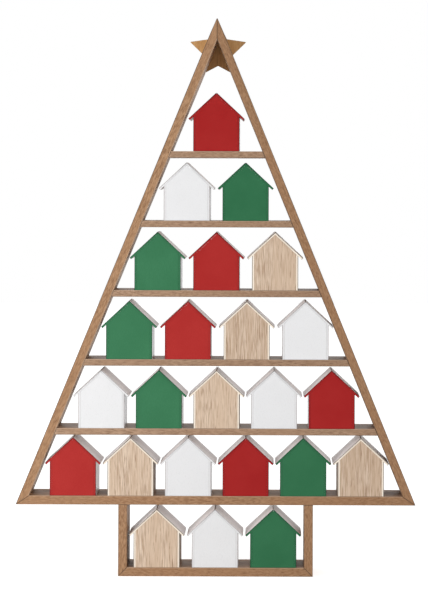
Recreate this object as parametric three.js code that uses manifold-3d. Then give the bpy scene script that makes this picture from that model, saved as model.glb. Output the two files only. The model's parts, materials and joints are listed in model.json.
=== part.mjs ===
// Advent calendar: an open tree of mitred boards whose shelves carry twenty-four small houses.
// Each house is a glued gabled shell, open at both ends, with a drawer whose front panel
// closes it flush, and stands loose on its shelf.
// Millimetres, Z up and the front facing -Y. The origin is on the floor, under the middle
// of the trunk.

import * as THREE from 'three';
import { mergeVertices } from 'three/addons/utils/BufferGeometryUtils.js';
import Module from 'manifold-3d';

const wasm = await Module();
wasm.setup();

// Boards of the tree. A tip that ran out to the crossing of the rails' outer faces would
// splinter, so the rails stop short of it and are dressed over this height to a blunt point.
const treeDepth = 60;
const railThickness = 12.5;
const tipCut = 2.6;
const tipHeight = 20;
const tipHalfWidth = 0.5;
const baseThickness = 12.7;
const trunkThickness = 12.7;
const shelfThickness = 9.4;
const glueLine = 0.3;

// Five-pointed star on the back of the rails, from its middle to its points and to its waist.
// Its top point stands a little higher than the tip of the tree.
const starPoints = 5;
const starRadius = 43.4;
const starWaist = 21.7;
const starRise = 0.8;
const starThickness = 5;

// Shell of a house. The width is over the side walls, the height is up to the ridge, and the
// overhang is level, from a side wall's face to the tip of the eave.
const houseWidth = 66.4;
const houseHeight = 84.1;
const houseDepth = 57.5;
const wallThickness = 3;
const floorThickness = 3;
const roofThickness = 3;
const roofPitch = THREE.MathUtils.degToRad(43);
const eaveOverhang = 7.1;

// Drawer of a house: a gabled front panel with a tray glued behind it.
const panelThickness = 3;
const panelGap = 0.3;
const trayThickness = 2;
const trayHeight = 42;
const traySideGap = 0.5;
const trayRunGap = 0.3;
const trayBackInset = 1.5;

// Room round the houses. A house stands this far off its board. The head room, from a ridge to
// the board above, is largest in the upper rows, and the two lowest rows of the tree stand
// closer together than the others. The gaps to the rails and posts are level, from the tip of
// an eave, and the top row has more of it than the bottom one.
const seatGap = 0.3;
const upperHeadRoom = 6.2;
const headRoom = 5.4;
const bottomHeadRoom = 3.1;
const trunkHeadRoom = 5.6;
const eaveGap = 3.8;
const closeEaveGap = 2.1;
const trunkEaveGap = 3.1;
const railGap = 2.1;
const topRailGap = 6.1;
const trunkSideGap = 3.1;

// Finishes, as colour and roughness.
const finishes = {
  brownBoard: { color: 0xb08b6b, roughness: 0.62 },
  goldenBoard: { color: 0xc69861, roughness: 0.55 },
  whiteShell: { color: 0xd2cfcc, roughness: 0.6 },
  paleShell: { color: 0xcdb59a, roughness: 0.65 },
  red: { color: 0xb42d2a, roughness: 0.5 },
  green: { color: 0x3f7d58, roughness: 0.5 },
  white: { color: 0xe9eaea, roughness: 0.55 },
  natural: { color: 0xdcc4a9, roughness: 0.65 },
};

// The tree's rows of house fronts from the top down, and the row in the trunk. The houses stand
// loose, as a hand left them: aside is the share of the room beside a row by which it is off the
// middle, to the right.
const rows = [
  { fronts: ['red'], gap: eaveGap, above: upperHeadRoom, aside: -0.1 },
  { fronts: ['white', 'green'], gap: eaveGap, above: upperHeadRoom, aside: -0.1 },
  { fronts: ['green', 'red', 'natural'], gap: eaveGap, above: upperHeadRoom, aside: 0 },
  { fronts: ['green', 'red', 'natural', 'white'], gap: eaveGap, above: headRoom, aside: 0.8 },
  {
    fronts: ['white', 'green', 'natural', 'white', 'red'],
    gap: closeEaveGap,
    above: headRoom,
    aside: 0.2,
  },
  {
    fronts: ['red', 'natural', 'white', 'red', 'green', 'natural'],
    gap: closeEaveGap,
    above: bottomHeadRoom,
    aside: 0.75,
  },
];
const trunkRow = {
  fronts: ['natural', 'white', 'green'],
  gap: trunkEaveGap,
  above: trunkHeadRoom,
  aside: -0.25,
};

// What follows from the sizes of a house: the tip of its eave, and the heights at which the
// underside of its roof crosses the middle and a side.
const eaveReach = houseWidth / 2 + eaveOverhang;
const eaveHeight = houseHeight - eaveReach * Math.tan(roofPitch);
const roofDrop = roofThickness / Math.cos(roofPitch);
const innerHalf = houseWidth / 2 - wallThickness;
const roofUnderside = (x) => houseHeight - roofDrop - x * Math.tan(roofPitch);

// Half the width of a row over its outer eaves, and the height of the bay that it stands in.
const rowStep = (row) => 2 * eaveReach + row.gap;
const rowHalf = (row) => ((row.fronts.length - 1) / 2) * rowStep(row) + eaveReach;
const bayHeight = (row) => seatGap + houseHeight + row.above;

// Levels of the tree, from the floor up. A row's floor is the top of the board it stands on.
const front = -treeDepth / 2;
const back = treeDepth / 2;
const baseUnder = trunkThickness + bayHeight(trunkRow);
const baseTop = baseUnder + baseThickness;
trunkRow.floor = trunkThickness;
let level = baseTop;
for (const row of [...rows].reverse()) {
  row.floor = level;
  level += bayHeight(row) + shelfThickness;
}

// The rails lean together along the eaves of the top row and the bottom one, and clear those
// of every row. The apex is where their outer faces would cross.
const topRow = rows[0];
const bottomRow = rows[rows.length - 1];
const railLean = Math.atan2(
  rowHalf(bottomRow) + railGap - rowHalf(topRow) - topRailGap,
  topRow.floor - bottomRow.floor,
);
const railAcross = railThickness / Math.cos(railLean);
const apexFor = (row) =>
  row.floor + seatGap + eaveHeight + (rowHalf(row) + railGap + railAcross) / Math.tan(railLean);
const apex = Math.max(...rows.map(apexFor));
const treeTop = apex - tipCut;
const railOuter = (z) => (apex - z) * Math.tan(railLean);
const railInner = (z) => railOuter(z) - railAcross;

// The room beside a row, level from its outer eave to the board there.
const railRoom = (row) => railInner(row.floor + seatGap + eaveHeight) - rowHalf(row);
const sideRoom = (row) => (row === trunkRow ? trunkSideGap : railRoom(row));

// A board cut to an outline in the upright plane, given as [x, z] corners, that runs in depth
// from one y to the other.
function board(corners, from, to) {
  const outline = new THREE.Shape(corners.map(([x, z]) => new THREE.Vector2(x, z)));
  const geometry = new THREE.ExtrudeGeometry(outline, { depth: to - from, bevelEnabled: false });
  geometry.rotateX(Math.PI / 2);
  geometry.translate(0, to, 0);
  return geometry;
}

// A board with level and upright edges, between two opposite corners of its outline.
function plainBoard([left, low], [right, high], from, to) {
  return board([[left, low], [right, low], [right, high], [left, high]], from, to);
}

// The same outline on the other side of the middle, with its corners still in order.
function mirrored(corners) {
  return corners.map(([x, z]) => [-x, z]).reverse();
}

// Boards that are glued together become one closed solid.
function glued(...boards) {
  const solids = boards.map((geometry) => {
    geometry.deleteAttribute('normal');
    geometry.deleteAttribute('uv');
    const merged = mergeVertices(geometry);
    return new wasm.Manifold(new wasm.Mesh({
      numProp: 3,
      vertProperties: merged.attributes.position.array,
      triVerts: Uint32Array.from(merged.index.array),
    }));
  });
  const mesh = solids.reduce((whole, solid) => whole.add(solid)).getMesh();
  const geometry = new THREE.BufferGeometry();
  geometry.setAttribute('position', new THREE.BufferAttribute(mesh.vertProperties, 3));
  geometry.setIndex(new THREE.BufferAttribute(mesh.triVerts, 1));
  return geometry;
}

function piece(name, geometry, finish) {
  const material = new THREE.MeshStandardMaterial({
    ...finishes[finish],
    metalness: 0,
    flatShading: true,
  });
  const mesh = new THREE.Mesh(geometry, material);
  mesh.name = name;
  return mesh;
}

// A mitre runs from an outer corner to an inner one. The board that is cut back for the glue
// is shorter by this much along the level.
function mitreRun(outer, inner) {
  const across = outer[0] - inner[0];
  const up = inner[1] - outer[1];
  return (glueLine * Math.hypot(across, up)) / Math.abs(up);
}

// Rails: mitred to each other upright under the tip, and to the ends of the base board.
function addRails(tree) {
  const corners = [
    [0, railInner(0) / Math.tan(railLean)],
    [railInner(baseTop), baseTop],
    [railOuter(baseUnder), baseUnder],
    [railOuter(treeTop - tipHeight), treeTop - tipHeight],
    [tipHalfWidth, treeTop],
    [0, treeTop],
  ];
  tree.add(piece('left_rail', board(mirrored(corners), front, back), 'brownBoard'));
  tree.add(piece('right_rail', board(corners, front, back), 'brownBoard'));
}

// Base board: the foot of the triangle, between the mitres of the two rails.
function addBaseBoard(tree) {
  const outer = [railOuter(baseUnder), baseUnder];
  const inner = [railInner(baseTop), baseTop];
  const run = mitreRun(outer, inner);
  const half = [
    [outer[0] - run, outer[1]],
    [inner[0] - run, inner[1]],
  ];
  tree.add(piece('base_board', board([...half, ...mirrored(half)], front, back), 'brownBoard'));
}

// Shelves: one under each row but the lowest, with ends cut to the lean of the rails.
function addShelves(tree) {
  const endGap = glueLine / Math.cos(railLean);
  rows.slice(0, -1).forEach((row, index) => {
    const low = row.floor - shelfThickness;
    const half = [
      [railInner(low) - endGap, low],
      [railInner(row.floor) - endGap, row.floor],
    ];
    const outline = [...half, ...mirrored(half)];
    tree.add(piece(`shelf_${index + 1}`, board(outline, front, back), 'brownBoard'));
  });
}

// Trunk: two posts butted under the base board and mitred to the board on the floor.
function addTrunk(tree) {
  const innerHalfWidth = rowHalf(trunkRow) + trunkSideGap;
  const outerHalfWidth = innerHalfWidth + trunkThickness;
  const outer = [outerHalfWidth, 0];
  const inner = [innerHalfWidth, trunkThickness];
  const run = mitreRun(outer, inner);
  const post = [outer, [outerHalfWidth, baseUnder], [innerHalfWidth, baseUnder], inner];
  tree.add(piece('left_trunk_post', board(mirrored(post), front, back), 'brownBoard'));
  tree.add(piece('right_trunk_post', board(post, front, back), 'brownBoard'));
  const half = [
    [outer[0] - run, outer[1]],
    [inner[0] - run, inner[1]],
  ];
  tree.add(piece('trunk_board', board([...half, ...mirrored(half)], front, back), 'brownBoard'));
}

// Star: flat on the back of the rails, behind the tip of the tree.
function addStar(tree) {
  const corners = Array.from({ length: 2 * starPoints }, (_, step) => {
    const reach = step % 2 === 0 ? starRadius : starWaist;
    const turn = Math.PI / 2 + (step * Math.PI) / starPoints;
    return [reach * Math.cos(turn), reach * Math.sin(turn)];
  });
  const star = piece('star', board(corners, back, back + starThickness), 'goldenBoard');
  star.position.z = treeTop + starRise - starRadius;
  tree.add(star);
}

// Shell of a house: two side walls with bevelled tops, two roof boards mitred at the ridge
// and squared off at the eaves, and a floor that starts behind the drawer's front panel.
function houseShell() {
  const wallHalf = houseWidth / 2;
  const eaveUnder = [
    eaveReach - roofThickness * Math.sin(roofPitch),
    eaveHeight - roofThickness * Math.cos(roofPitch),
  ];
  const side = [
    [innerHalf, 0],
    [wallHalf, 0],
    [wallHalf, roofUnderside(wallHalf)],
    eaveUnder,
    [eaveReach, eaveHeight],
  ];
  const innerSide = [innerHalf, roofUnderside(innerHalf)];
  const arch = [
    ...side,
    [0, houseHeight],
    ...mirrored(side),
    [-innerSide[0], innerSide[1]],
    [0, roofUnderside(0)],
    innerSide,
  ];
  const floorFront = front + panelThickness + panelGap;
  const floorHalf = houseWidth / 2 - wallThickness / 2;
  return glued(
    board(arch, front, front + houseDepth),
    plainBoard([-floorHalf, 0], [floorHalf, floorThickness], floorFront, front + houseDepth),
  );
}

// Drawer of a house: the gabled panel sits between the walls and under the roof, and the
// tray behind it is open at the top.
function houseDrawer() {
  const panelHalf = innerHalf - panelGap;
  const roofGap = panelGap / Math.cos(roofPitch);
  const panel = [
    [-panelHalf, 0],
    [panelHalf, 0],
    [panelHalf, roofUnderside(panelHalf) - roofGap],
    [0, roofUnderside(0) - roofGap],
    [-panelHalf, roofUnderside(panelHalf) - roofGap],
  ];
  const outerHalf = innerHalf - traySideGap;
  const hollowHalf = outerHalf - trayThickness;
  const low = floorThickness + trayRunGap;
  const high = low + trayHeight;
  const trough = [
    [-outerHalf, low],
    [outerHalf, low],
    [outerHalf, high],
    [hollowHalf, high],
    [hollowHalf, low + trayThickness],
    [-hollowHalf, low + trayThickness],
    [-hollowHalf, high],
    [-outerHalf, high],
  ];
  const trayFront = front + panelThickness / 2;
  const trayBack = front + houseDepth - trayBackInset;
  return glued(
    board(panel, front, front + panelThickness),
    board(trough, trayFront, trayBack),
    plainBoard([-outerHalf, low], [outerHalf, high], trayBack - trayThickness, trayBack),
  );
}

// The houses are numbered from the top down and from left to right, the trunk last.
function addHouses(calendar) {
  const shell = houseShell();
  const drawer = houseDrawer();
  let number = 0;
  for (const row of [...rows, trunkRow]) {
    row.fronts.forEach((finish, place) => {
      number += 1;
      const label = String(number).padStart(2, '0');
      const house = new THREE.Group();
      const offset = (place - (row.fronts.length - 1) / 2) * rowStep(row);
      house.position.set(offset + row.aside * sideRoom(row), 0, row.floor + seatGap);
      const shellFinish = finish === 'natural' ? 'paleShell' : 'whiteShell';
      house.add(piece(`house_${label}`, shell, shellFinish));
      house.add(piece(`drawer_${label}`, drawer, finish));
      calendar.add(house);
    });
  }
}

const calendar = new THREE.Group();
const tree = new THREE.Group();
addRails(tree);
addBaseBoard(tree);
addShelves(tree);
addTrunk(tree);
addStar(tree);
calendar.add(tree);
addHouses(calendar);

export default calendar;
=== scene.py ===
"""Advent calendar: an open wooden tree whose shelves carry twenty-four small gabled houses."""

import json
import math

import bpy
import numpy as np
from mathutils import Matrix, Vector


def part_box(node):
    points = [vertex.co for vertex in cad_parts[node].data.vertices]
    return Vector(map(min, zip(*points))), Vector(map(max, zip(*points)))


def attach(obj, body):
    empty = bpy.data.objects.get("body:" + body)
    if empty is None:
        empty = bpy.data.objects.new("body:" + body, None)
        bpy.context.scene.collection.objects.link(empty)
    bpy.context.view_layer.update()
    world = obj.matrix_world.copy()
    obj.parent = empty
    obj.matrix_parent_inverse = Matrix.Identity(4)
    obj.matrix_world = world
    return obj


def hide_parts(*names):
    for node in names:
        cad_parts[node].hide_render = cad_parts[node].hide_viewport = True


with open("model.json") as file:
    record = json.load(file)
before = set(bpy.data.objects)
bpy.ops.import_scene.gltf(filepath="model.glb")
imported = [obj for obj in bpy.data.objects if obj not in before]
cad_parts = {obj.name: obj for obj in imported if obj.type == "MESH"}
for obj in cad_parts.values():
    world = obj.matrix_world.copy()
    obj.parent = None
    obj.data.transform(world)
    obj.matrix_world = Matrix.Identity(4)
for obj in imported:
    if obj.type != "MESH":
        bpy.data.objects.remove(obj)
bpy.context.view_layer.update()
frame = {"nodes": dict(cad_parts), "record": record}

# Rails: two brown-stained boards that lean together and meet in an upright glued mitre, dressed
# to a blunt point at the tip. Sawn from planed board, so every edge is slightly rounded. Their
# inner faces are painted paler, which is painted light from the white surround.

SOFT_EDGE = 0.0006
GLUED_EDGE = 0.0001
FLAT_BORDER = 0.00015
ARC_STEPS = 3
UP = np.array([0.0, 0.0, 1.0])
DEPTHWAYS = np.array([0.0, 1.0, 0.0])
LOG_SIZE = 5.0
BOARD_SEED = 24
chance = np.random.default_rng(BOARD_SEED)
slot_of = {part["node"]: part["material_slot"] for part in frame["record"]["subparts"]}


def softened_outline(corners, radii, insets):
    """Rounds the corners of an outline.

    A corner of radius r becomes an arc that touches both of its sides, so the arc's middle lies
    r / sin(half the corner's angle) from the corner, along the line that halves the angle.
    Returns the points, each point's inset for the side that follows it, and whether that
    side is part of an arc.
    """
    corners = np.asarray(corners, float)
    points, distances, rounded = [], [], []
    for place, (corner, radius, inset) in enumerate(zip(corners, radii, insets)):
        if radius == 0:
            points.append(corner[None])
            distances.append([inset])
            rounded.append([False])
            continue
        before = corners[place - 1] - corner
        after = corners[(place + 1) % len(corners)] - corner
        before /= np.linalg.norm(before)
        after /= np.linalg.norm(after)
        half = math.acos(before @ after) / 2
        halfway = (before + after) / np.linalg.norm(before + after)
        middle = corner + halfway * radius / math.sin(half)
        start = corner + before * radius / math.tan(half) - middle
        end = corner + after * radius / math.tan(half) - middle
        sweep = math.pi - 2 * half
        share = np.linspace(0, 1, ARC_STEPS + 1)[:, None]
        arc = np.sin((1 - share) * sweep) * start + np.sin(share * sweep) * end
        points.append(middle + arc / math.sin(sweep))
        distances.append([inset] * (ARC_STEPS + 1))
        rounded.append([True] * ARC_STEPS + [False])
    return np.concatenate(points), np.concatenate(distances), np.concatenate(rounded)


def inset_outline(points, distances):
    """Moves every side in by its distance. A point goes to where its two moved sides cross."""
    side = np.roll(points, -1, axis=0) - points
    side /= np.linalg.norm(side, axis=1, keepdims=True)
    inward = np.stack([-side[:, 1], side[:, 0]], axis=1)
    crossing = np.stack([np.roll(inward, 1, axis=0), inward], axis=1)
    moved = np.stack([np.roll(distances, 1), distances], axis=1)
    return points + np.linalg.solve(crossing, moved[..., None])[..., 0]


def stacked_rings(points, distances, ends, soft):
    """The outline at its levels along the depth, as an array of rings of places.

    At each end the rings follow a quarter circle: at turn t they are inset by r (1 - sin t) and
    lie r (1 - cos t) from the end, with r the softness of the edge. A flat ring borders the
    quarter circle on both sides.
    """
    turn = np.linspace(0, math.pi / 2, ARC_STEPS + 1)
    share = np.concatenate([[1 + FLAT_BORDER / soft], 1 - np.sin(turn), [0]])
    depth = np.concatenate([[0], soft * (1 - np.cos(turn)), [soft + FLAT_BORDER]])
    rings = np.stack([inset_outline(points, distances * amount) for amount in share])
    place = np.empty((2 * len(share), len(points), 3))
    place[..., [0, 2]] = np.concatenate([rings, rings[::-1]])
    place[..., 1] = np.concatenate([ends[0] + depth, ends[1] - depth[::-1]])[:, None]
    return place


def in_the_log(places, grain):
    """Places measured along the grain and in two directions across it, from a spot by chance."""
    along = np.asarray(grain, float) / np.linalg.norm(grain)
    across = np.cross(along, UP if abs(along[2]) < abs(along[1]) else DEPTHWAYS)
    across /= np.linalg.norm(across)
    axes = np.stack([along, across, np.cross(along, across)])
    return places @ axes.T + chance.uniform(0, LOG_SIZE, 3)


def board(corners, ends, finishes, grain=UP, soft=SOFT_EDGE, radii=None, insets=None,
          arris_shading_and_seams=1.0, tone=None):
    """A board with an outline in the upright plane, carried along the depth as a stack of rings.

    The corners run counterclockwise as seen from the front, and the insets and the edge colour's
    shift may give each side that follows a corner its own value. finishes are for the front, the
    sides and the back, with a list for the sides where they differ. The grain is a direction. The
    edge colour's shift is more than 0 for lighter, which on the frame is a painted highlight, and
    less for darker, which is painted shade along the arris and the dark line of a glued joint.
    The tone runs from -1, light, to 1, dark. It is one for the left end and one for the right
    where the board changes along its length, which on the frame's boards is painted falloff of
    the light from the left, and is left to chance where none is given.
    """
    radii = [0] * len(corners) if radii is None else radii
    insets = [soft] * len(corners) if insets is None else insets
    points, distances, rounded = softened_outline(corners, radii, insets)
    rings = stacked_rings(points, distances, ends, soft)
    count, width = rings.shape[:2]
    places = rings.reshape(-1, 3)

    band, step = np.meshgrid(np.arange(count - 1), np.arange(width), indexing="ij")
    after = (step + 1) % width
    corner_of = [band * width + step, (band + 1) * width + step]
    corner_of += [(band + 1) * width + after, band * width + after]
    quads = np.stack(corner_of, axis=-1).reshape(-1, 4)

    end_bands = ARC_STEPS + 1
    at_front = band < end_bands
    at_back = band >= count - 1 - end_bands
    arc_band = (band > 0) & at_front | (band < count - 2) & at_back
    smooth = (arc_band | rounded[step]).ravel()

    side_of = np.repeat(np.arange(len(corners)), np.where(np.array(radii) == 0, 1, ARC_STEPS + 1))
    around = finishes[1] if isinstance(finishes[1], list) else [finishes[1]] * len(corners)
    choice = [finishes[0], finishes[2], *around]
    zone = np.where(at_front, 0, np.where(at_back, 1, 2 + side_of[step]))

    on_arc = np.concatenate([[0], np.ones(ARC_STEPS + 1), [0]])
    edge_toned = np.concatenate([on_arc, on_arc])
    edge_toned = np.stack([edge_toned[band], edge_toned[band + 1], edge_toned[band + 1], edge_toned[band]], axis=-1)
    side_arris_shading = np.broadcast_to(arris_shading_and_seams, len(corners))[side_of]

    grained = in_the_log(places, grain)
    by_chance = chance.uniform(-1, 1)
    tone_ends = np.broadcast_to(by_chance if tone is None else tone, 2)
    from_left = places[:, 0]
    return {
        "points": places,
        "grain": grained,
        "edge_shading_and_joints": np.concatenate([(edge_toned * side_arris_shading[step][..., None]).ravel(),
                                np.zeros(2 * width)]),
        "tone": np.interp(from_left, (from_left.min(), from_left.max()), tone_ends),
        "faces": [*quads.tolist(), list(range(width)),
                  list(range(count * width - 1, (count - 1) * width - 1, -1))],
        "smooth": [*smooth.tolist(), False, False],
        "finish": [*(choice[number] for number in zone.ravel()), finishes[0], finishes[2]],
    }


def mirrored(corners):
    """The outline on the other side of the middle, its corners still counterclockwise."""
    return [(-across, up) for across, up in reversed(corners)]


def mirrored_sides(values):
    """What each side of an outline has, in the order of the sides of the mirrored outline."""
    return values[-2::-1] + values[-1:]


def mirrored_board(corners, ends, finishes, grain, insets, arris_shading_and_seams, **settings):
    """The mirror image of a right-hand board, for the left of the middle."""
    front, sides, back = finishes
    sides = mirrored_sides(sides) if isinstance(sides, list) else sides
    return board(mirrored(corners), ends, (front, sides, back), grain * (-1, 1, 1),
                 insets=mirrored_sides(insets), arris_shading_and_seams=mirrored_sides(arris_shading_and_seams), **settings)


def add_piece(name, boards, body, node, shift=(0, 0, 0)):
    """Boards that are glued together, as one piece in its place, riding on a body."""
    finishes = list(dict.fromkeys(finish for each in boards for finish in each["finish"]))
    faces, first = [], 0
    for each in boards:
        faces += [[first + corner for corner in face] for face in each["faces"]]
        first += len(each["points"])
    points = np.concatenate([each["points"] for each in boards]) + np.asarray(shift)
    mesh = bpy.data.meshes.new(name)
    mesh.from_pydata(points.tolist(), [], faces)
    for label, kind, domain in (("edge_shading_and_joints", "FLOAT", "CORNER"), ("tone", "FLOAT", "POINT"),
                                ("grain", "FLOAT_VECTOR", "POINT")):
        values = np.concatenate([each[label] for each in boards]).astype(np.float32)
        layer = mesh.attributes.new(label, kind, domain)
        layer.data.foreach_set("vector" if kind == "FLOAT_VECTOR" else "value", values.ravel())
    for finish in finishes:
        mesh.materials.append(finish)
    chosen = [finishes.index(finish) for each in boards for finish in each["finish"]]
    mesh.polygons.foreach_set("material_index", chosen)
    smooth = [flag for each in boards for flag in each["smooth"]]
    mesh.polygons.foreach_set("use_smooth", smooth)
    mesh.update()
    piece = bpy.data.objects.new(name, mesh)
    bpy.context.scene.collection.objects.link(piece)
    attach(piece, body)
    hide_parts(node)


def srgb(red, green, blue):
    """A colour in display values from 0 to 255, made linear by the standard curve."""
    value = np.array([red, green, blue]) / 255
    linear = np.where(value <= 0.04045, value / 12.92, ((value + 0.055) / 1.055) ** 2.4)
    return (*linear.tolist(), 1.0)


def new_group(name, inputs, outputs):
    """An empty shader node group with value inputs, a vector input called Place, and outputs."""
    group = bpy.data.node_groups.new(name, "ShaderNodeTree")
    group.interface.new_socket("Place", in_out="INPUT", socket_type="NodeSocketVector")
    for label, value in inputs.items():
        socket = group.interface.new_socket(label, in_out="INPUT", socket_type="NodeSocketFloat")
        socket.default_value = value
    for label in outputs:
        group.interface.new_socket(label, in_out="OUTPUT", socket_type="NodeSocketFloat")
    return group, group.nodes.new("NodeGroupInput"), group.nodes.new("NodeGroupOutput")


def add_node(tree, kind, inputs=None, **settings):
    """A node with its settings, and its inputs linked to a socket or set to a value."""
    node = tree.nodes.new(kind)
    for label, value in settings.items():
        setattr(node, label, value)
    for label, value in (inputs or {}).items():
        if isinstance(value, bpy.types.NodeSocket):
            tree.links.new(value, node.inputs[label])
        else:
            node.inputs[label].default_value = value
    return node


def stretched_noise(tree, place, stretch, scale, detail):
    """Noise drawn out along the grain: the place is squeezed along its first axis by stretch."""
    squeeze = add_node(tree, "ShaderNodeCombineXYZ", {"X": stretch, "Y": 1.0, "Z": 1.0})
    drawn = add_node(tree, "ShaderNodeVectorMath", {0: place, 1: squeeze.outputs[0]},
                     operation="MULTIPLY")
    noise = add_node(tree, "ShaderNodeTexNoise",
                     {"Vector": drawn.outputs[0], "Scale": scale, "Detail": detail})
    return noise.outputs["Fac"]


def between(tree, value, low, high, to_low=0.0, to_high=1.0):
    """A value from low to high, spread smoothly over another range."""
    spread = add_node(
        tree, "ShaderNodeMapRange",
        {"Value": value, "From Min": low, "From Max": high, "To Min": to_low, "To Max": to_high},
        interpolation_type="SMOOTHSTEP")
    return spread.outputs["Result"]


MOST_OF_NOISE = (0.3, 0.7)
PEAKS_OF_NOISE = (0.6, 0.7)


def wood_figure():
    """The figure of sawn wood: broad bands, finer streaks and short dark pores along the grain."""
    group, given, out = new_group(
        "wood figure",
        {"Band Scale": 45.0, "Streak Scale": 420.0, "Pore Scale": 1100.0, "Stretch": 0.05},
        ["Band", "Streak", "Pore"])
    place, stretch = given.outputs["Place"], given.outputs["Stretch"]
    band = stretched_noise(group, place, stretch, given.outputs["Band Scale"], 3.0)
    streak = stretched_noise(group, place, stretch, given.outputs["Streak Scale"], 4.0)
    pore = stretched_noise(group, place, stretch, given.outputs["Pore Scale"], 2.0)
    group.links.new(between(group, band, *MOST_OF_NOISE), out.inputs["Band"])
    group.links.new(between(group, streak, *MOST_OF_NOISE), out.inputs["Streak"])
    group.links.new(between(group, pore, *PEAKS_OF_NOISE), out.inputs["Pore"])
    return group


FINISH_IOR = 1.45


def new_material(name, roughness, gloss):
    """A material with a Principled shader, and its board's attributes ready to use."""
    material = bpy.data.materials.new(name)
    material.use_nodes = True
    tree = material.node_tree
    shader = tree.nodes["Principled BSDF"]
    shader.inputs["Roughness"].default_value = roughness
    shader.inputs["IOR"].default_value = FINISH_IOR
    shader.inputs["Specular IOR Level"].default_value = gloss
    kept = {}
    for label, output in (("grain", "Vector"), ("edge_shading_and_joints", "Fac"), ("tone", "Fac")):
        attribute = add_node(tree, "ShaderNodeAttribute", attribute_name=label)
        kept[label] = attribute.outputs[output]
    return material, tree, shader, kept


def mixed(tree, amount, first, second, blend="MIX"):
    """Two colours mixed by an amount."""
    mix = add_node(tree, "ShaderNodeMix", data_type="RGBA", blend_type=blend)
    for socket, value in ((mix.inputs[0], amount), (mix.inputs[6], first), (mix.inputs[7], second)):
        if isinstance(value, bpy.types.NodeSocket):
            tree.links.new(value, socket)
        else:
            socket.default_value = value
    return mix.outputs[2]


def scaled(tree, value, factor, added=0.0):
    """A value times a factor, plus an amount."""
    return add_node(tree, "ShaderNodeMath", {0: value, 1: factor, 2: added},
                    operation="MULTIPLY_ADD").outputs[0]


def raised(tree, shader, height, depth):
    """Relief of the given depth in metres under the shader."""
    bump = add_node(tree, "ShaderNodeBump",
                    {"Height": height, "Strength": 1.0, "Distance": depth})
    tree.links.new(bump.outputs["Normal"], shader.inputs["Normal"])


WOOD_RELIEF = 0.00006
# The shares of an edge's lighter tone and of its darker tone. The lighter one is a painted
# highlight on the frame's top arrises, and the darker one is painted shade along most arrises,
# besides the dark line of a glued joint.
LIGHT_EDGE_SHARE = 0.6
DARK_EDGE_SHARE = 0.8
DARK_STREAK_ROUGHER = 0.06
LIGHT_STREAK_SMOOTHER = 0.05
FIGURE = wood_figure()


def wood(name, tones, edges, roughness, figure, pores=0.25, banding=0.5, tone_swing=0.1,
         gloss=0.3):
    """Bare or stained wood from a dark, a middle and a light tone.

    The streaks run from the dark tone to the light one, the broad bands draw them towards the
    middle one by banding, and the pores darken them. edges are a lighter and a darker tone for
    the edges: the lighter one is a painted highlight, and the darker one is painted shade along
    an arris and the dark line of a glued joint.
    """
    dark, middle, light = tones
    material, tree, shader, kept = new_material(name, roughness, gloss)
    grain = add_node(tree, "ShaderNodeGroup", node_tree=FIGURE)
    tree.links.new(kept["grain"], grain.inputs["Place"])
    for label, value in figure.items():
        grain.inputs[label].default_value = value
    streak, band, pore = (grain.outputs[label] for label in ("Streak", "Band", "Pore"))
    fine = mixed(tree, streak, dark, light)
    base = mixed(tree, scaled(tree, band, banding, (1 - banding) / 2), fine, middle)
    # The tone darkens the wood; on the frame's boards it is painted falloff of the light from the
    # left.
    toned = mixed(tree, scaled(tree, kept["tone"], tone_swing / 2, tone_swing / 2), base, dark)
    pored = mixed(tree, scaled(tree, pore, pores), toned, dark, "MULTIPLY")
    edge_toned = mixed(tree, scaled(tree, kept["edge_shading_and_joints"], LIGHT_EDGE_SHARE), pored, edges[0])
    edge_darkened = mixed(tree, scaled(tree, kept["edge_shading_and_joints"], -DARK_EDGE_SHARE), edge_toned, edges[1])
    tree.links.new(edge_darkened, shader.inputs["Base Color"])
    tree.links.new(between(tree, streak, 0, 1, roughness + DARK_STREAK_ROUGHER,
                           roughness - LIGHT_STREAK_SMOOTHER), shader.inputs["Roughness"])
    height = add_node(tree, "ShaderNodeMath", {0: streak, 1: pore}, operation="SUBTRACT")
    raised(tree, shader, height.outputs[0], WOOD_RELIEF)
    return material


# The lighter edge tone of the brown boards is a painted highlight, and the darker one is painted
# shade along their arrises, besides the dark line of their glued joints.
BROWN_EDGES = (srgb(206, 178, 152), srgb(84, 66, 52))
BROWN_TONES = (srgb(128, 92, 62), srgb(164, 124, 90), srgb(188, 149, 114))
# Paler tones for the rails' inner faces: painted light from the white surround.
INNER_FACE_PAINTED_LIGHT_TONES = (srgb(158, 126, 98), srgb(190, 156, 126), srgb(210, 180, 152))
SHORT_GRAIN = {"Band Scale": 30.0, "Streak Scale": 560.0, "Pore Scale": 760.0, "Stretch": 0.26}
LONG_GRAIN = {"Band Scale": 30.0, "Streak Scale": 420.0, "Pore Scale": 640.0, "Stretch": 0.05}
brown_front = wood("brown stained board", BROWN_TONES, BROWN_EDGES, 0.52, SHORT_GRAIN,
                   pores=0.45, tone_swing=0.4, gloss=0.33)
brown_face = wood("brown stained broad face", BROWN_TONES, BROWN_EDGES, 0.52, LONG_GRAIN,
                  pores=0.45, tone_swing=0.4, gloss=0.33)
inner_face_painted_light = wood("brown face paled for painted light", INNER_FACE_PAINTED_LIGHT_TONES, BROWN_EDGES, 0.52, LONG_GRAIN,
                  pores=0.45, tone_swing=0.3, gloss=0.33)

rail_low, rail_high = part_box("right_rail")
base_low, base_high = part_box("base_board")
top_shelf_low, top_shelf_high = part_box("shelf_1")
low_shelf_low, low_shelf_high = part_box("shelf_5")
GLUE_GAP = 0.0003
tree_ends = (rail_low.y, rail_high.y)
lean = (low_shelf_high.x - top_shelf_high.x) / (top_shelf_low.z - low_shelf_low.z)
apex = rail_low.z + rail_high.x / lean
shelf_glue = GLUE_GAP * math.hypot(1, lean)
rail_across = (apex - low_shelf_low.z) * lean - (low_shelf_high.x + shelf_glue)


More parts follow.
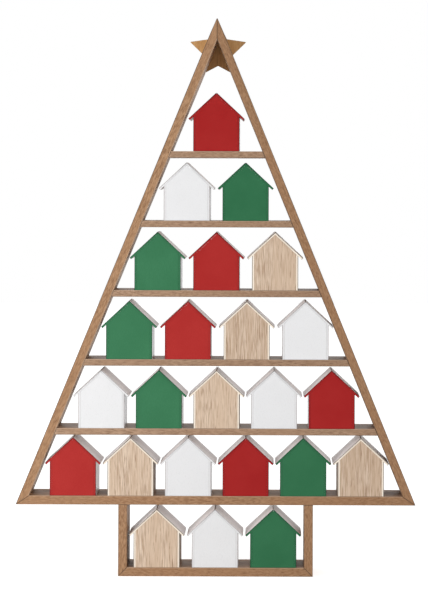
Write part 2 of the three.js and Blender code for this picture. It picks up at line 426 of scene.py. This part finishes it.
def rail_outer(height):
    """How far a rail's outer face is from the middle: it falls off evenly from the apex."""
    return (apex - height) * lean


def rail_inner(height):
    """The inner face is the outer one less the rail's thickness along the level."""
    return rail_outer(height) - rail_across


SEAM = -1.0
TIP_HEIGHT = 0.02
TIP_HALF_WIDTH = 0.0005
TIP_EDGE = 0.0003
INNER_ARRIS = 0.0009
# The left rail's lighter inner arris is a painted highlight. The left rail is painted lighter and
# the right one darker: painted falloff of the light from the left.
LEFT_INNER_HIGHLIGHT = 1.0
LEFT_RAIL_PAINTED_LIGHT = -1.0
RIGHT_RAIL_PAINTED_SHADE = 0.6
rail_corners = [
    (GLUED_EDGE, apex - rail_across / lean),
    (rail_inner(base_high.z), base_high.z),
    (rail_outer(base_low.z), base_low.z),
    (rail_outer(rail_high.z - TIP_HEIGHT), rail_high.z - TIP_HEIGHT),
    (TIP_HALF_WIDTH, rail_high.z),
    (GLUED_EDGE, rail_high.z),
]

# The sides in that order: inner face, mitre at the foot, outer face, dressed slope, tip, mitre.
rail_insets = [INNER_ARRIS, TIP_EDGE, SOFT_EDGE, TIP_EDGE, TIP_EDGE, TIP_EDGE]
# The rails' darker arrises are painted shade.
rail_edge_shading = [-0.8, SEAM, -1.2, -0.9, -0.9, SEAM]
rail_finish = (brown_front, [inner_face_painted_light, *[brown_face] * 5], brown_front)
rail_grain = np.array([-lean, 0, 1])
add_piece("right_rail_board",
          [board(rail_corners, tree_ends, rail_finish, rail_grain, insets=rail_insets,
                 arris_shading_and_seams=rail_edge_shading, tone=RIGHT_RAIL_PAINTED_SHADE)],
          "tree", "right_rail")
add_piece("left_rail_board",
          [mirrored_board(rail_corners, tree_ends, rail_finish, rail_grain, rail_insets,
                          [LEFT_INNER_HIGHLIGHT, *rail_edge_shading[1:]], tone=LEFT_RAIL_PAINTED_LIGHT)],
          "tree", "left_rail")

# Base board: the foot of the triangle, in the same brown-stained stock. Its two long tips are
# mitred to the rails, and the houses of the bottom row stand on it.

ALONG_X = np.array([1.0, 0.0, 0.0])
# The base board is painted lighter at its left end and darker at its right: painted falloff of the
# light from the left.
BASE_PAINTED_FALLOFF = (-1.1, 0.9)
tree_finish = (brown_front, brown_face, brown_front)
base_corners = [
    (rail_outer(base_low.z) - 2 * GLUED_EDGE / lean, base_low.z),
    (rail_inner(base_high.z) - 2 * GLUED_EDGE / lean, base_high.z),
]

# The sides of every level board: right end, top, left end, underside.
level_insets = [TIP_EDGE, SOFT_EDGE, TIP_EDGE, SOFT_EDGE]
# The top arris is painted lighter, a painted highlight, and the underside's arris darker, painted
# shade. The ends are dark glued joints.
level_edge_shading = [SEAM, 1.0, SEAM, -0.7]
add_piece("base_board_plank",
          [board(base_corners + mirrored(base_corners), tree_ends, tree_finish, ALONG_X,
                 insets=level_insets, arris_shading_and_seams=level_edge_shading, tone=BASE_PAINTED_FALLOFF)],
          "tree", "base_board")

# Shelves: five thinner boards, stained a little greyer, with both ends sawn to the lean of the
# rails and glued between them. Each carries one row of houses.

SHELF_BROWNS = (srgb(126, 96, 71), srgb(163, 129, 101), srgb(187, 155, 129))
shelf_front = wood("grey brown stained board", SHELF_BROWNS, BROWN_EDGES, 0.48, SHORT_GRAIN,
                   pores=0.45, tone_swing=0.4, gloss=0.45)
shelf_face = wood("grey brown stained broad face", SHELF_BROWNS, BROWN_EDGES, 0.48, LONG_GRAIN,
                  pores=0.45, tone_swing=0.4, gloss=0.45)

# The tones of the shelves from the top down, each at its left and its right end: lighter to
# the left and darker to the right, painted falloff of the light from the left.
SHELF_PAINTED_FALLOFF = [(-0.5, 0.0), (-0.4, 0.2), (-1.2, 1.0), (-0.6, 1.0), (-1.2, 0.0)]

for number, shelf_falloff in enumerate(SHELF_PAINTED_FALLOFF, start=1):
    shelf = f"shelf_{number}"
    shelf_low, shelf_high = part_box(shelf)
    shelf_corners = [
        (rail_inner(shelf_low.z) - GLUED_EDGE, shelf_low.z),
        (rail_inner(shelf_high.z) - GLUED_EDGE, shelf_high.z),
    ]
    add_piece(f"{shelf}_plank",
              [board(shelf_corners + mirrored(shelf_corners), tree_ends,
                     (shelf_front, shelf_face, shelf_front), ALONG_X, insets=level_insets,
                     arris_shading_and_seams=level_edge_shading, tone=shelf_falloff)],
              "tree", shelf)

# Trunk: two upright posts butted under the base board, and the board that the tree stands on,
# mitred to both of them at 45 degrees.

MITRE_EDGE = 0.0004
# The left post is painted lighter, and the right post and the right of the trunk board darker:
# painted falloff of the light from the left.
RIGHT_POST_PAINTED_SHADE = 0.3
LEFT_POST_PAINTED_LIGHT = -0.8
TRUNK_PAINTED_FALLOFF = (-0.8, 0.2)
post_low, post_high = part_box("right_trunk_post")
floor_low, floor_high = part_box("trunk_board")
post_corners = [
    (post_high.x, post_low.z),
    (post_high.x, post_high.z - GLUED_EDGE),
    (post_low.x, post_high.z - GLUED_EDGE),
    (post_low.x, floor_high.z),
]

# The sides in that order: outer face, top end, inner face, mitre.
post_insets = [SOFT_EDGE, TIP_EDGE, SOFT_EDGE, MITRE_EDGE]
# The darker arrises of the outer and inner faces are painted shade.
post_edge_shading = [-0.7, SEAM, -0.5, SEAM]
add_piece("right_trunk_post_board",
          [board(post_corners, tree_ends, tree_finish, UP, insets=post_insets, arris_shading_and_seams=post_edge_shading,
                 tone=RIGHT_POST_PAINTED_SHADE)],
          "tree", "right_trunk_post")
add_piece("left_trunk_post_board",
          [mirrored_board(post_corners, tree_ends, tree_finish, UP, post_insets, post_edge_shading,
                          tone=LEFT_POST_PAINTED_LIGHT)],
          "tree", "left_trunk_post")
foot_corners = [
    (post_high.x - 2 * GLUED_EDGE, floor_low.z),
    (post_low.x - 2 * GLUED_EDGE, floor_high.z),
]
add_piece("trunk_floor_board",
          [board(foot_corners + mirrored(foot_corners), tree_ends, tree_finish, ALONG_X,
                 insets=level_insets, arris_shading_and_seams=level_edge_shading, tone=TRUNK_PAINTED_FALLOFF)],
          "tree", "trunk_board")

# Star: a flat five-pointed star in golden-stained board, glued on the back of the rails behind
# the tip of the tree.

STAR_WAIST = 0.0217
STAR_POINTS = 5
STAR_EDGE = 0.0004
STAR_TIP_RADIUS = 0.0006
# The star is darker along all its edges.
STAR_EDGE_DARKENING = -0.6
golden_board = wood(
    "golden stained board", (srgb(172, 126, 76), srgb(199, 154, 100), srgb(218, 176, 122)),
    (srgb(214, 180, 134), srgb(120, 92, 60)), 0.5,
    {"Band Scale": 35.0, "Streak Scale": 300.0, "Pore Scale": 900.0, "Stretch": 0.08})
star_low, star_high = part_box("star")
star_reach = (star_high.z - star_low.z) / (1 + math.cos(math.pi / STAR_POINTS))
turns = np.arange(2 * STAR_POINTS)
reach = np.where(turns % 2 == 0, star_reach, STAR_WAIST)
angle = math.pi / 2 + turns * math.pi / STAR_POINTS
star_corners = np.stack([reach * np.cos(angle),
                         star_high.z - star_reach + reach * np.sin(angle)], axis=1)
add_piece("star_board",
          [board(star_corners, (star_low.y, star_high.y), (golden_board,) * 3, UP, STAR_EDGE,
                 [STAR_TIP_RADIUS, 0] * STAR_POINTS, arris_shading_and_seams=STAR_EDGE_DARKENING)],
          "tree", "star")

# House shells: thin side walls and a floor, glued. The walls' front edges show beside the
# drawer, painted like it, or left as a pale sawn edge on the houses in bare wood.

THIN_EDGE = 0.0002
SLIGHT_EDGE_DARKENING = 0.15
WALL = 0.003
ROOF_BOARD = 0.003
PANEL = 0.003
FLOOR = 0.003
PANEL_GAP = 0.0003
ROOF_PITCH = math.radians(43)
OVERHANG = 0.0071
WALL_ARRIS = 0.0008
HOUSE_SEED = 265611
ALL_OF_NOISE = (0.25, 0.75)


def paint_coat():
    """A brushed coat: slow changes of thickness, and a fine nap with the wood's grain in it."""
    group, given, out = new_group(
        "paint coat", {"Cloud Scale": 28.0, "Nap Scale": 900.0, "Stretch": 0.35},
        ["Cloud", "Nap"])
    place = given.outputs["Place"]
    cloud = stretched_noise(group, place, 1.0, given.outputs["Cloud Scale"], 2.0)
    nap = stretched_noise(group, place, given.outputs["Stretch"], given.outputs["Nap Scale"], 3.0)
    group.links.new(between(group, cloud, *MOST_OF_NOISE), out.inputs["Cloud"])
    group.links.new(between(group, nap, *ALL_OF_NOISE), out.inputs["Nap"])
    return group


PAINT_RELIEF = 0.00004
TONE_SHARE = 0.4
CLOUD_SHARE = 0.2
NAP_SHARE = 0.25
LOW_NAP_SMOOTHER = 0.04
HIGH_NAP_ROUGHER = 0.06
COAT = paint_coat()


def paint(name, thin, thick, edge, roughness, gloss=0.2):
    """Matt paint from its colour where it is thin to where it is thick, and a darker colour on the
    edges: painted shade along the arrises of the walls and drawer fronts, and a darker line along
    the front of the roof.
    """
    material, tree, shader, kept = new_material(name, roughness, gloss)
    coat = add_node(tree, "ShaderNodeGroup", node_tree=COAT)
    tree.links.new(kept["grain"], coat.inputs["Place"])
    cloud, nap = coat.outputs["Cloud"], coat.outputs["Nap"]
    toned = scaled(tree, kept["tone"], TONE_SHARE, TONE_SHARE)
    body = mixed(tree, scaled(tree, cloud, CLOUD_SHARE, toned), thin, thick)
    napped = mixed(tree, scaled(tree, nap, NAP_SHARE), body, thick)
    edge_darkened = mixed(tree, scaled(tree, kept["edge_shading_and_joints"], -DARK_EDGE_SHARE), napped, edge)
    tree.links.new(edge_darkened, shader.inputs["Base Color"])
    tree.links.new(between(tree, nap, 0, 1, roughness - LOW_NAP_SMOOTHER,
                           roughness + HIGH_NAP_ROUGHER), shader.inputs["Roughness"])
    raised(tree, shader, nap, PAINT_RELIEF)
    return material


# The last colour of each paint is its darker edge colour: painted shade on the arrises of the walls
# and drawer fronts.
white_paint = paint("white paint", srgb(233, 233, 234), srgb(226, 226, 227),
                    srgb(160, 151, 148), 0.3, gloss=0.5)
red_paint = paint("red paint", srgb(178, 47, 43), srgb(155, 20, 21), srgb(62, 16, 24), 0.42)
green_paint = paint("green paint", srgb(61, 124, 86), srgb(36, 99, 63), srgb(20, 50, 36), 0.42)
roof_paint = paint("roof wash", srgb(238, 229, 227), srgb(229, 219, 217), srgb(150, 128, 122),
                   0.35, gloss=0.5)
BARE_GRAIN = {"Band Scale": 60.0, "Streak Scale": 800.0, "Pore Scale": 720.0, "Stretch": 0.055}
bare_wood = wood(
    "bare pale wood", (srgb(163, 133, 107), srgb(214, 189, 164), srgb(241, 222, 202)),
    (srgb(190, 162, 136), srgb(172, 144, 118)), 0.55, BARE_GRAIN, pores=0.6, banding=0.6,
    tone_swing=0.3)
side_wood = wood(
    "darker side wood", (srgb(128, 100, 76), srgb(164, 134, 108), srgb(190, 162, 136)),
    (srgb(180, 152, 126), srgb(80, 60, 46)), 0.55, BARE_GRAIN, pores=0.4)
# The sawn edge's dark tone darkens the walls' outer front arris on the houses in bare wood, painted
# shade, and the roof's front edge.
sawn_edge = wood(
    "pale sawn edge", (srgb(244, 228, 208), srgb(250, 238, 222), srgb(254, 246, 234)),
    (srgb(250, 240, 228), srgb(44, 28, 20)), 0.6, BARE_GRAIN, pores=0.1)

# What a house wears, by its drawer's finish: the drawer's front, the edges that lie round it,
# the ends of the roof at the eaves, and the outside of the side walls.
LOOKS = {
    "red_paint": {"front": red_paint, "edge": red_paint, "eave": red_paint,
                  "side": white_paint},
    "green_paint": {"front": green_paint, "edge": green_paint, "eave": green_paint,
                    "side": white_paint},
    "white_paint": {"front": white_paint, "edge": white_paint, "eave": white_paint,
                    "side": white_paint},
    "natural_wood": {"front": bare_wood, "edge": sawn_edge, "eave": side_wood,
                     "side": side_wood},
}

# Each house's paint is a little lighter or darker than the next one's, by a tone drawn for it.
houses = sorted(name for name in frame["nodes"] if name.startswith("house_"))
drawn_tones = np.random.default_rng(HOUSE_SEED).uniform(-1, 1, len(houses))
house_tones = dict(zip(houses, drawn_tones))


def drawer_of(house):
    """The node of the drawer in a house."""
    return house.replace("house", "drawer")


def look_of(house):
    """What a house wears."""
    return LOOKS[slot_of[drawer_of(house)]]


def foot_of(node):
    """Where a house or drawer stands: the middle of its width, at its underside."""
    low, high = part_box(node)
    return ((low.x + high.x) / 2, 0, low.z)


shell_low, shell_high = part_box("house_01")
eave_reach = (shell_high.x - shell_low.x) / 2
ridge = shell_high.z - shell_low.z
wall_face = eave_reach - OVERHANG
wall_back = wall_face - WALL
house_ends = (shell_low.y, shell_high.y)
roof_drop = ROOF_BOARD / math.cos(ROOF_PITCH)


def roof_top(across):
    """The height of the roof's outside, which falls evenly from the ridge."""
    return ridge - across * math.tan(ROOF_PITCH)


def rectangle(left, low, right, high):
    """The corners of a rectangle with level and upright sides, counterclockwise."""
    return [(left, low), (right, low), (right, high), (left, high)]


wall_corners = [
    (wall_back, 0),
    (wall_face, 0),
    (wall_face, roof_top(wall_face) - roof_drop),
    (wall_back, roof_top(wall_back) - roof_drop),
]

# The sides in that order: underside, outer face, the end under the roof, inner face.
wall_insets = [THIN_EDGE, WALL_ARRIS, GLUED_EDGE, THIN_EDGE]
# The outer face's front arris is much darker: painted shade, a dark line down each side of the
# house. The other edges are a little darker.
wall_edge_shading = [-SLIGHT_EDGE_DARKENING, -0.9, -SLIGHT_EDGE_DARKENING, -SLIGHT_EDGE_DARKENING]
bare = (bare_wood,) * 3
house_floor_corners = rectangle(GLUED_EDGE - wall_back, 0, wall_back - GLUED_EDGE, FLOOR)
house_floor_ends = (house_ends[0] + PANEL + PANEL_GAP, house_ends[1])

for house in houses:
    look = look_of(house)
    finish = (look["edge"], look["side"], look["side"])
    right = board(wall_corners, house_ends, finish, UP, THIN_EDGE, insets=wall_insets,
                  arris_shading_and_seams=wall_edge_shading, tone=house_tones[house])
    left = mirrored_board(wall_corners, house_ends, finish, UP, wall_insets, wall_edge_shading,
                          soft=THIN_EDGE, tone=house_tones[house])
    house_floor = board(house_floor_corners, house_floor_ends, bare, ALONG_X, THIN_EDGE)
    add_piece(f"{house}_walls", [left, right, house_floor], house, house, foot_of(house))

# House roofs: two thin boards mitred at the ridge and squared off at the eaves, washed in a
# warm white, with the front edge and the ends at the eaves in the colour of the house. The
# wash doesn't reach into the groove at the ridge, which shows the darker wood.

RIDGE_GROOVE = 0.0007
ROOF_ARRIS = 0.0007
EAVE_ARRIS = 0.0006
eave_under = (eave_reach - ROOF_BOARD * math.sin(ROOF_PITCH),
              roof_top(eave_reach) - ROOF_BOARD * math.cos(ROOF_PITCH))
roof_corners = [
    (GLUED_EDGE, ridge - roof_drop),
    eave_under,
    (eave_reach, roof_top(eave_reach)),
    (RIDGE_GROOVE, roof_top(RIDGE_GROOVE)),
    (GLUED_EDGE, ridge - 2 * RIDGE_GROOVE),
]

# The sides in that order: underside, end at the eave, outside, groove, mitre.
roof_insets = [THIN_EDGE, EAVE_ARRIS, ROOF_ARRIS, GLUED_EDGE, GLUED_EDGE]
# The roof's edges are darker along its outside, its ends at the eaves and the groove.
roof_edge_darkening = [-SLIGHT_EDGE_DARKENING, -1.0, -1.0, -1.0, 0.0]
slope = np.array([math.cos(ROOF_PITCH), 0, -math.sin(ROOF_PITCH)])

for house in houses:
    look = look_of(house)
    sides = [roof_paint, look["eave"], roof_paint, side_wood, side_wood]
    finish = (look["edge"], sides, roof_paint)
    right = board(roof_corners, house_ends, finish, slope, THIN_EDGE, insets=roof_insets,
                  arris_shading_and_seams=roof_edge_darkening, tone=house_tones[house])
    left = mirrored_board(roof_corners, house_ends, finish, slope, roof_insets, roof_edge_darkening,
                          soft=THIN_EDGE, tone=house_tones[house])
    add_piece(f"{house}_roof", [left, right], house, house, foot_of(house))

# Drawer fronts: a gabled panel that lies flush between the walls and under the roof, with a
# hairline gap all round. It is what gives each house its colour.

PAINT_IN_SEAM = 0.00028
PANEL_CORNER = 0.0004
panel_low, panel_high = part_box("drawer_01")
panel_half = (panel_high.x - panel_low.x) / 2 + PAINT_IN_SEAM
panel_top = panel_high.z - panel_low.z + PAINT_IN_SEAM / math.cos(ROOF_PITCH)
panel_eave = panel_top - panel_half * math.tan(ROOF_PITCH)
panel_corners = [
    (-panel_half, 0),
    (panel_half, 0),
    (panel_half, panel_eave),
    (0, panel_top),
    (-panel_half, panel_eave),
]
panel_ends = (panel_low.y, panel_low.y + PANEL)

# The sides in that order: underside, right, the two slopes of the gable, left.
# The drawer front is darker along its edges, most on its two sides: painted shade in the seam
# against the walls.
panel_edge_shading = [-0.4, -0.8, -0.3, -0.3, -0.8]

for house in houses:
    drawer = drawer_of(house)
    front = look_of(house)["front"]
    panel = board(panel_corners, panel_ends, (front, front, bare_wood), UP, THIN_EDGE,
                  [PANEL_CORNER] * len(panel_corners), arris_shading_and_seams=panel_edge_shading, tone=house_tones[house])
    add_piece(f"{drawer}_front", [panel], drawer, drawer, foot_of(drawer))

# Drawer trays: an open box of very thin bare boards behind each front, which holds the gift.
# Two sides run from the front to the back board, with the floor between them.

TRAY_BOARD = 0.002
TRAY_HEIGHT = 0.042
TRAY_SIDE_GAP = 0.0005
TRAY_RUN_GAP = 0.0003
tray_face = wall_back - TRAY_SIDE_GAP
tray_inside = tray_face - TRAY_BOARD
tray_low = FLOOR + TRAY_RUN_GAP
tray_high = tray_low + TRAY_HEIGHT
tray_ends = (panel_ends[1] + GLUED_EDGE, panel_high.y)
between_sides = tray_inside - GLUED_EDGE
tray_floor_corners = rectangle(-between_sides, tray_low, between_sides, tray_low + TRAY_BOARD)
tray_floor_ends = (tray_ends[0], tray_ends[1] - TRAY_BOARD - GLUED_EDGE)
tray_back_corners = rectangle(-between_sides, tray_low, between_sides, tray_high)
tray_back_ends = (tray_ends[1] - TRAY_BOARD, tray_ends[1])

for house in houses:
    drawer = drawer_of(house)
    tray = [
        board(rectangle(left, tray_low, left + TRAY_BOARD, tray_high), tray_ends, bare,
              DEPTHWAYS, THIN_EDGE)
        for left in (-tray_face, tray_inside)
    ]
    tray.append(board(tray_floor_corners, tray_floor_ends, bare, DEPTHWAYS, THIN_EDGE))
    tray.append(board(tray_back_corners, tray_back_ends, bare, ALONG_X, THIN_EDGE))
    add_piece(f"{drawer}_tray", tray, drawer, drawer, foot_of(drawer))

# The room: a pale floor that keeps the tree's soft shadow, an even white surround, and a wide
# lamp on each side in front, the left one the stronger, so that the light falls off to the right.

FLOOR_SIZE = 12.0
FLOOR_LIFT = 0.6
PAPER_COLOUR = (0.88, 0.88, 0.88, 1)
PAPER_ROUGHNESS = 0.9
WHITE = (1, 1, 1, 1)
SURROUND_LIGHT = 0.59
LAMPS = {
    "left lamp": {"place": (-1.5, -1.0, 0.5), "size": 1.0, "power": 19.0},
    "right lamp": {"place": (1.5, -0.9, 0.9), "size": 1.0, "power": 5.8},
}
LAMP_AIM = (0.0, 0.0, 0.4)


def where_looked_at(tree):
    """1 for rays from the camera, or by way of gloss or glass, and 0 for light on the object."""
    path = add_node(tree, "ShaderNodeLightPath")
    either = add_node(
        tree, "ShaderNodeMath",
        {0: path.outputs["Is Camera Ray"], 1: path.outputs["Is Glossy Ray"]}, operation="MAXIMUM")
    any_of_three = add_node(
        tree, "ShaderNodeMath",
        {0: either.outputs[0], 1: path.outputs["Is Transmission Ray"]}, operation="MAXIMUM")
    return any_of_three.outputs[0]


half = FLOOR_SIZE / 2
floor_mesh = bpy.data.meshes.new("floor")
floor_mesh.from_pydata([(-half, -half, 0), (half, -half, 0), (half, half, 0), (-half, half, 0)],
                       [], [[0, 1, 2, 3]])
floor = bpy.data.objects.new("floor", floor_mesh)
bpy.context.scene.collection.objects.link(floor)
floor_paper = bpy.data.materials.new("floor paper")
floor_paper.use_nodes = True
paper = floor_paper.node_tree
plain = paper.nodes["Principled BSDF"]
plain.inputs["Base Color"].default_value = PAPER_COLOUR
plain.inputs["Roughness"].default_value = PAPER_ROUGHNESS
plain.inputs["Emission Color"].default_value = WHITE
paper.links.new(scaled(paper, where_looked_at(paper), FLOOR_LIFT),
                plain.inputs["Emission Strength"])
floor_mesh.materials.append(floor_paper)

world = bpy.data.worlds.new("surround")
bpy.context.scene.world = world
world.use_nodes = True
sky = world.node_tree
background = sky.nodes["Background"]
background.inputs["Color"].default_value = WHITE
sky.links.new(scaled(sky, where_looked_at(sky), 1 - SURROUND_LIGHT, SURROUND_LIGHT),
              background.inputs["Strength"])

for name, facts in LAMPS.items():
    lamp_data = bpy.data.lights.new(name, "AREA")
    lamp_data.size = facts["size"]
    lamp_data.energy = facts["power"]
    lamp = bpy.data.objects.new(name, lamp_data)
    bpy.context.scene.collection.objects.link(lamp)
    lamp.location = facts["place"]
    aim = lamp.location.copy()
    aim.xyz = LAMP_AIM
    lamp.rotation_euler = (aim - lamp.location).to_track_quat("-Z", "Y").to_euler()

# The camera: square on to the tree from some two and a half metres, a little to the right of its
# middle and above its middle height, with a slight roll. Its frame is shifted as the view needs.

FRAME_WIDTH = 428
FRAME_HEIGHT = 600
FOCAL_PIXELS = 1811
AXIS_COLUMN = 264
AXIS_ROW = 186.7
SENSOR_SIZE = 36.0
CAMERA_PLACE = (0.068, -2.63, 0.56)
ROLL = math.radians(-0.19)

camera_data = bpy.data.cameras.new("camera")
camera_data.sensor_width = SENSOR_SIZE
camera_data.lens = SENSOR_SIZE * FOCAL_PIXELS / FRAME_HEIGHT
camera_data.shift_x = (FRAME_WIDTH / 2 - AXIS_COLUMN) / FRAME_HEIGHT
camera_data.shift_y = (AXIS_ROW - FRAME_HEIGHT / 2) / FRAME_HEIGHT
camera = bpy.data.objects.new("camera", camera_data)
bpy.context.scene.collection.objects.link(camera)
camera.location = CAMERA_PLACE
camera.rotation_euler = (math.pi / 2, ROLL, 0)
bpy.context.scene.camera = camera
bpy.context.scene.view_settings.view_transform = "Standard"
